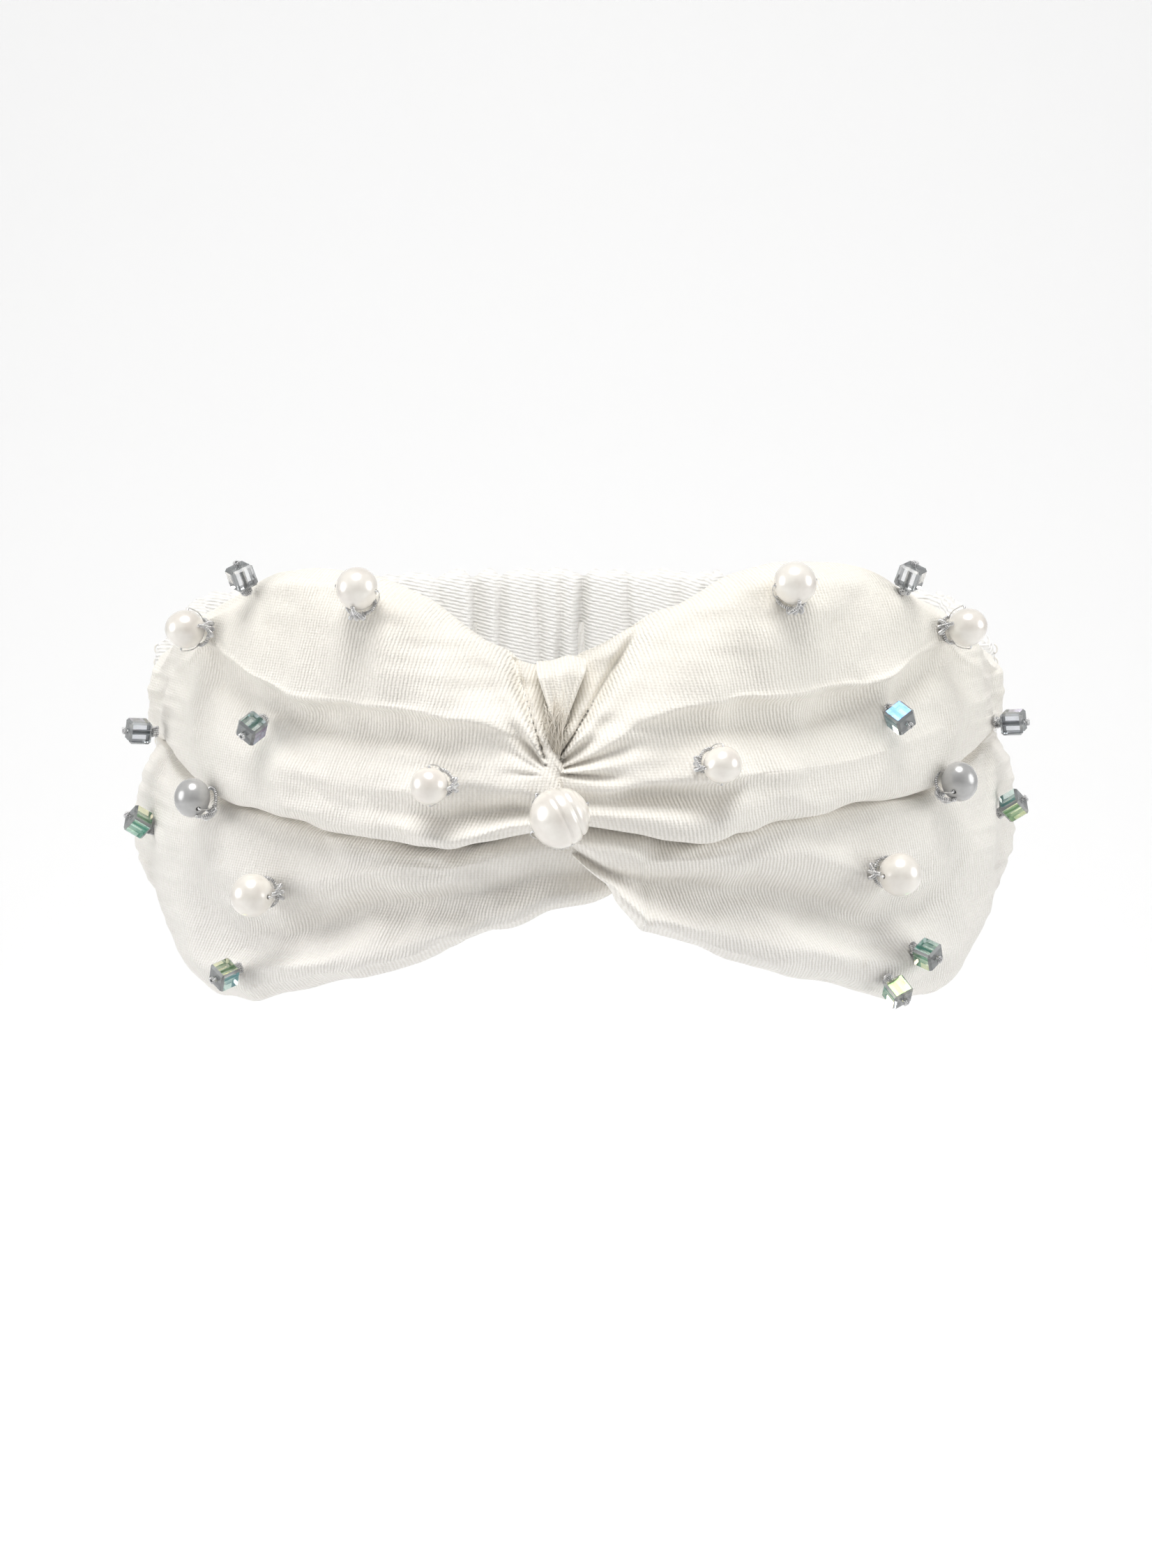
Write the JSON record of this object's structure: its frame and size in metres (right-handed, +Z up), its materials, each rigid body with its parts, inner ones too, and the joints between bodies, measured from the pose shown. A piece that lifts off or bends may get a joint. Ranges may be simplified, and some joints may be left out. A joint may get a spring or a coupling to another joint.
{
  "type": "headband",
  "caption": "Wide padded fabric headband with a hooked twist knot at the front, an elastic back casing, and drilled pearls and crystal cubes sewn on with silver wire and thread.",
  "frame": {"origin": "centre of the head opening, at the middle of the band's height", "axes": "+Z up on a wearer's head, -Y out of the front knot, +X to the right as seen from the front"},
  "size_m": [0.1624, 0.184, 0.0808],
  "materials": {
    "loop_fabric": "soft matt weave",
    "casing_fabric": "matt crepe",
    "elastic": "matt ribbed",
    "thread": "matt",
    "silver_wire": "bright coiled wire",
    "pearl": "pearlescent",
    "grey_pearl": "pearlescent",
    "crystal": "iridescent coated facets"
  },
  "bodies": {
    "front": {"left_loop": "loop_fabric", "right_loop": "loop_fabric", "left_seam_stitch": "thread", "right_seam_stitch": "thread", "left_side_casing": "casing_fabric", "left_side_elastic": "elastic", "right_side_casing": "casing_fabric", "right_side_elastic": "elastic", "left_temple_pearl_setting": "silver_wire", "left_crown_pearl_setting": "silver_wire", "left_inner_pearl_setting": "silver_wire", "left_grey_pearl_setting": "silver_wire", "left_cheek_pearl_setting": "silver_wire", "right_temple_pearl_setting": "silver_wire", "right_crown_pearl_setting": "silver_wire", "right_inner_pearl_setting": "silver_wire", "right_grey_pearl_setting": "silver_wire", "right_cheek_pearl_setting": "silver_wire", "centre_pearl_setting": "silver_wire", "left_crown_cube_shank": "silver_wire", "left_side_cube_shank": "silver_wire", "left_brow_cube_shank": "silver_wire", "left_low_side_cube_shank": "silver_wire", "left_jaw_cube_shank": "silver_wire", "right_crown_cube_shank": "silver_wire", "right_side_cube_shank": "silver_wire", "right_brow_cube_shank": "silver_wire", "right_low_side_cube_shank": "silver_wire", "right_jaw_cube_shank": "silver_wire", "right_rim_cube_shank": "silver_wire"},
    "back": {"back_casing": "casing_fabric", "back_elastic": "elastic"},
    "left_temple_pearl": {"left_temple_pearl": "pearl"},
    "left_crown_pearl": {"left_crown_pearl": "pearl"},
    "left_inner_pearl": {"left_inner_pearl": "pearl"},
    "left_grey_pearl": {"left_grey_pearl": "grey_pearl"},
    "left_cheek_pearl": {"left_cheek_pearl": "pearl"},
    "right_temple_pearl": {"right_temple_pearl": "pearl"},
    "right_crown_pearl": {"right_crown_pearl": "pearl"},
    "right_inner_pearl": {"right_inner_pearl": "pearl"},
    "right_grey_pearl": {"right_grey_pearl": "grey_pearl"},
    "right_cheek_pearl": {"right_cheek_pearl": "pearl"},
    "centre_pearl": {"centre_pearl": "pearl"},
    "left_crown_cube": {"left_crown_cube": "crystal"},
    "left_side_cube": {"left_side_cube": "crystal"},
    "left_brow_cube": {"left_brow_cube": "crystal"},
    "left_low_side_cube": {"left_low_side_cube": "crystal"},
    "left_jaw_cube": {"left_jaw_cube": "crystal"},
    "right_crown_cube": {"right_crown_cube": "crystal"},
    "right_side_cube": {"right_side_cube": "crystal"},
    "right_brow_cube": {"right_brow_cube": "crystal"},
    "right_low_side_cube": {"right_low_side_cube": "crystal"},
    "right_jaw_cube": {"right_jaw_cube": "crystal"},
    "right_rim_cube": {"right_rim_cube": "crystal"}
  },
  "joints": [
    {"name": "back_stretch", "type": "slide", "parent": "front", "child": "back", "axis": [0, 1, 0], "range_m": [0, 0.03], "stiffness_N_per_m": 60, "deforming": ["left_side_casing", "left_side_elastic", "right_side_casing", "right_side_elastic"]},
    {"name": "left_temple_pearl_roll", "type": "hinge", "parent": "front", "child": "left_temple_pearl", "pos_m": [-0.06845, -0.05529, 0.02647], "axis": [0.1625, 0.1297, 0.9781], "range_deg": [-20, 20]},
    {"name": "left_crown_pearl_roll", "type": "hinge", "parent": "front", "child": "left_crown_pearl", "pos_m": [-0.03726, -0.08246, 0.03656], "axis": [-0.9367, 0.3343, 0.1044], "range_deg": [-20, 20]},
    {"name": "left_inner_pearl_roll", "type": "hinge", "parent": "front", "child": "left_inner_pearl", "pos_m": [-0.02478, -0.093, 0.00412], "axis": [-0.0186, -0.074, 0.9971], "range_deg": [-20, 20]},
    {"name": "left_grey_pearl_roll", "type": "hinge", "parent": "front", "child": "left_grey_pearl", "pos_m": [-0.06721, -0.05658, -0.00315], "axis": [-0.3842, 0.7923, 0.4739], "range_deg": [-20, 20]},
    {"name": "left_cheek_pearl_roll", "type": "hinge", "parent": "front", "child": "left_cheek_pearl", "pos_m": [-0.05618, -0.07019, -0.0182], "axis": [-0.8173, 0.5763, 0], "range_deg": [-20, 20]},
    {"name": "right_temple_pearl_roll", "type": "hinge", "parent": "front", "child": "right_temple_pearl", "pos_m": [0.06845, -0.05529, 0.02687], "axis": [-0.1625, 0.1297, 0.9781], "range_deg": [-20, 20]},
    {"name": "right_crown_pearl_roll", "type": "hinge", "parent": "front", "child": "right_crown_pearl", "pos_m": [0.03726, -0.08246, 0.03756], "axis": [0.9367, 0.3343, 0.1044], "range_deg": [-20, 20]},
    {"name": "right_inner_pearl_roll", "type": "hinge", "parent": "front", "child": "right_inner_pearl", "pos_m": [0.02478, -0.093, 0.00772], "axis": [0.0186, -0.074, 0.9971], "range_deg": [-20, 20]},
    {"name": "right_grey_pearl_roll", "type": "hinge", "parent": "front", "child": "right_grey_pearl", "pos_m": [0.06721, -0.05658, -0.00015], "axis": [0.3842, 0.7923, 0.4739], "range_deg": [-20, 20]},
    {"name": "right_cheek_pearl_roll", "type": "hinge", "parent": "front", "child": "right_cheek_pearl", "pos_m": [0.05618, -0.07019, -0.0146], "axis": [0.8173, 0.5763, 0], "range_deg": [-20, 20]},
    {"name": "centre_pearl_roll", "type": "hinge", "parent": "front", "child": "centre_pearl", "pos_m": [-0.00276, -0.09904, -0.00038], "axis": [0.8727, 0.2256, 0.433], "range_deg": [-20, 20]},
    {"name": "left_crown_cube_spin", "type": "hinge", "parent": "front", "child": "left_crown_cube", "pos_m": [-0.05797, -0.06276, 0.03651], "axis": [-0.2974, -0.2774, 0.9135], "continuous": true},
    {"name": "left_side_cube_spin", "type": "hinge", "parent": "front", "child": "left_side_cube", "pos_m": [-0.07814, -0.03488, 0.00585], "axis": [-0.9484, -0.3092, 0.0698], "continuous": true},
    {"name": "left_brow_cube_spin", "type": "hinge", "parent": "front", "child": "left_brow_cube", "pos_m": [-0.05602, -0.06895, 0.01081], "axis": [-0.6376, -0.6335, -0.4384], "continuous": true},
    {"name": "left_low_side_cube_spin", "type": "hinge", "parent": "front", "child": "left_low_side_cube", "pos_m": [-0.07834, -0.03384, -0.01068], "axis": [-0.8006, -0.2797, 0.5299], "continuous": true},
    {"name": "left_jaw_cube_spin", "type": "hinge", "parent": "front", "child": "left_jaw_cube", "pos_m": [-0.06147, -0.06308, -0.0334], "axis": [-0.7796, -0.5624, -0.2756], "continuous": true},
    {"name": "right_crown_cube_spin", "type": "hinge", "parent": "front", "child": "right_crown_cube", "pos_m": [0.05797, -0.06276, 0.03651], "axis": [0.2974, -0.2774, 0.9135], "continuous": true},
    {"name": "right_side_cube_spin", "type": "hinge", "parent": "front", "child": "right_side_cube", "pos_m": [0.07814, -0.03488, 0.00745], "axis": [0.9484, -0.3092, 0.0698], "continuous": true},
    {"name": "right_brow_cube_spin", "type": "hinge", "parent": "front", "child": "right_brow_cube", "pos_m": [0.05602, -0.06895, 0.01261], "axis": [0.6376, -0.6335, -0.4384], "continuous": true},
    {"name": "right_low_side_cube_spin", "type": "hinge", "parent": "front", "child": "right_low_side_cube", "pos_m": [0.07834, -0.03384, -0.00768], "axis": [0.8006, -0.2797, 0.5299], "continuous": true},
    {"name": "right_jaw_cube_spin", "type": "hinge", "parent": "front", "child": "right_jaw_cube", "pos_m": [0.06147, -0.06308, -0.0298], "axis": [0.7796, -0.5624, -0.2756], "continuous": true},
    {"name": "right_rim_cube_spin", "type": "hinge", "parent": "front", "child": "right_rim_cube", "pos_m": [0.05604, -0.06713, -0.03573], "axis": [0.5509, -0.5322, -0.6428], "continuous": true}
  ]
}
